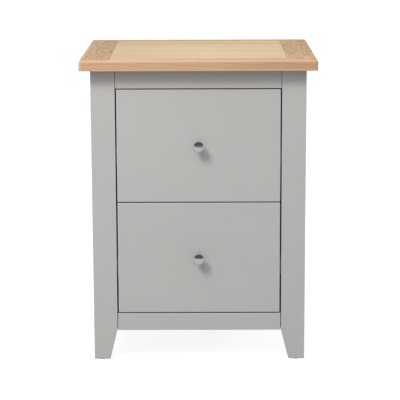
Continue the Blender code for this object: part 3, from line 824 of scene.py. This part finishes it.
WHITE = (1.0, 1.0, 1.0)
ROOM_LIGHT = 0.45
FLOOR_SIZE = 26.0
FLOOR_COLOUR = (0.455, 0.455, 0.455)
FLOOR_GLOW = 0.86  # of the floor as the camera sees it, so that only a faint shadow shows
FLOOR_REFLECTED = 0.26  # share of that glow in reflections
FLOOR_LIT_TO = -0.3  # reflections show the floor light up to here
FLOOR_DARK_FROM = -9.0
ROOM_DUSK = (0.34, 0.34, 0.34)
ROOM_DARK = (0.13, 0.13, 0.13)
DARK_WALL_AT = -12.5
DARK_WIDTH = 30.0
DARK_HEIGHT = 3.6
SOFT_BOX_SIDE = 1.16
SOFT_BOX_POWER = 135
WEAK_BOX_POWER = 57
PANEL_SIDE = 3.4
PANEL_POWER = 48
LIGHT_DISTANCE = 4.2
LIGHT_TRAVEL = Vector((0.467, 0.4815, -0.7416))  # the way the light goes
WEAK_LIGHT_TRAVEL = Vector((-0.704, -0.704, -0.09))
PANEL_LIGHT_TRAVEL = Vector((0.25, 0.62, -0.74))
LIT_POINT = Vector((0, -0.2, 0.5))
CAMERA_PLACE = (0.01696, -4.10947, 1.18317)
CAMERA_LENS = 146.54  # for a sensor 36 mm wide
CAMERA_YAW = -0.0036  # in radians, like the other two
CAMERA_PITCH = 0.19801
CAMERA_ROLL = 0.00337


def ray_kinds(finish):
    """1 or 0 for rays that come from the camera, from a reflection and through something clear."""
    kinds = ("Is Camera Ray", "Is Glossy Ray", "Is Transmission Ray")
    return [finish.node("ShaderNodeLightPath", {}, {}, kind) for kind in kinds]


def show(finish, output, shader):
    """Shows a shader at an output node, in place of the plain one that came with it."""
    socket = finish.tree.nodes[output].inputs["Surface"]
    finish.tree.nodes.remove(socket.links[0].from_node)
    finish.join(shader, socket)


room = Finish(bpy.data.worlds.new("white_room"))
bpy.context.scene.world = room.owner
straight, reflected, through = ray_kinds(room)
seen = room.maths("MINIMUM", straight + reflected + through, 1.0)
dim = room.node("ShaderNodeBackground", {}, {"Color": WHITE, "Strength": ROOM_LIGHT})
bright = room.node("ShaderNodeBackground", {}, {"Color": WHITE, "Strength": 1.0})
mixed = room.node("ShaderNodeMixShader", {}, {0: seen, 1: dim, 2: bright})
show(room, "World Output", mixed)

pale = Finish(bpy.data.materials.new("pale_floor"))
straight, reflected, through = ray_kinds(pale)
seen = pale.maths("MINIMUM", straight + FLOOR_REFLECTED * reflected + through, 1.0)
far = reflected * pale.fade(pale.split(pale.place())[Y_AXIS], FLOOR_LIT_TO, FLOOR_DARK_FROM)
plain = pale.node("ShaderNodeBsdfDiffuse", {}, {"Color": FLOOR_COLOUR})
glow = pale.node("ShaderNodeEmission", {}, {"Color": WHITE, "Strength": FLOOR_GLOW})
glowing = pale.node("ShaderNodeAddShader", {}, {0: plain, 1: glow})
dusk = pale.node("ShaderNodeEmission", {}, {"Color": ROOM_DUSK, "Strength": 1.0})
mixed = pale.node("ShaderNodeMixShader", {}, {0: seen, 1: plain, 2: glowing})
mixed = pale.node("ShaderNodeMixShader", {}, {0: far, 1: mixed, 2: dusk})
show(pale, "Material Output", mixed)

dark = Finish(bpy.data.materials.new("dark_room"))
rise = dark.fade(dark.split(dark.place())[Z_AXIS], 0.0, DARK_HEIGHT)
dusk = dark.node("ShaderNodeEmission", {}, {"Color": ROOM_DUSK, "Strength": 1.0})
gloom = dark.node("ShaderNodeEmission", {}, {"Color": ROOM_DARK, "Strength": 1.0})
mixed = dark.node("ShaderNodeMixShader", {}, {0: rise, 1: dusk, 2: gloom})
show(dark, "Material Output", mixed)


def add_stage(name, width, length, place, lean, material):
    """A flat card with its middle at a place, leaned back from lying flat by an angle."""
    shape = bmesh.new()
    stand = Matrix.Translation(place) @ Matrix.Rotation(lean, 4, "X")
    size = Matrix.Diagonal((width, length, 1, 1))
    bmesh.ops.create_grid(shape, x_segments=1, y_segments=1, size=0.5, matrix=stand @ size)
    mesh = bpy.data.meshes.new(name)
    shape.to_mesh(mesh)
    shape.free()
    mesh.materials.append(material)
    flat = bpy.data.objects.new(name, mesh)
    bpy.context.scene.collection.objects.link(flat)
    return flat


def add_dark_card(name, length, place, lean):
    card = add_stage(name, DARK_WIDTH, length, place, lean, dark.owner)
    card.visible_camera = False
    card.visible_diffuse = False
    card.visible_transmission = False
    card.visible_shadow = False


add_stage("studio_floor", FLOOR_SIZE, FLOOR_SIZE, (0, 0, 0), 0, pale.owner)
add_dark_card("dark_wall", DARK_HEIGHT, (0, DARK_WALL_AT, DARK_HEIGHT / 2), pi / 2)
add_dark_card("dark_ceiling", -DARK_WALL_AT, (0, DARK_WALL_AT / 2, DARK_HEIGHT), 0)


def add_light(name, side, power, travel):
    """A square lamp whose light travels along a direction to the lit point."""
    light = bpy.data.lights.new(name, "AREA")
    light.shape = "SQUARE"
    light.size = side
    light.energy = power
    lamp = bpy.data.objects.new(name, light)
    lamp.location = LIT_POINT - LIGHT_DISTANCE * travel
    lamp.rotation_euler = travel.to_track_quat("-Z", "Y").to_euler()
    lamp.visible_camera = False
    lamp.visible_glossy = False
    bpy.context.scene.collection.objects.link(lamp)


add_light("soft_box", SOFT_BOX_SIDE, SOFT_BOX_POWER, LIGHT_TRAVEL)
add_light("weak_soft_box", SOFT_BOX_SIDE, WEAK_BOX_POWER, WEAK_LIGHT_TRAVEL)
add_light("wide_panel", PANEL_SIDE, PANEL_POWER, PANEL_LIGHT_TRAVEL)

camera_data = bpy.data.cameras.new("photo_camera")
camera_data.sensor_width = 36
camera_data.lens = CAMERA_LENS
camera = bpy.data.objects.new("photo_camera", camera_data)
camera.location = CAMERA_PLACE
turn = Matrix.Rotation(-CAMERA_YAW, 3, "Z") @ Matrix.Rotation(pi / 2 - CAMERA_PITCH, 3, "X")
camera.rotation_euler = (turn @ Matrix.Rotation(-CAMERA_ROLL, 3, "Z")).to_euler()
bpy.context.scene.collection.objects.link(camera)
bpy.context.scene.camera = camera
bpy.context.scene.view_settings.view_transform = "Standard"
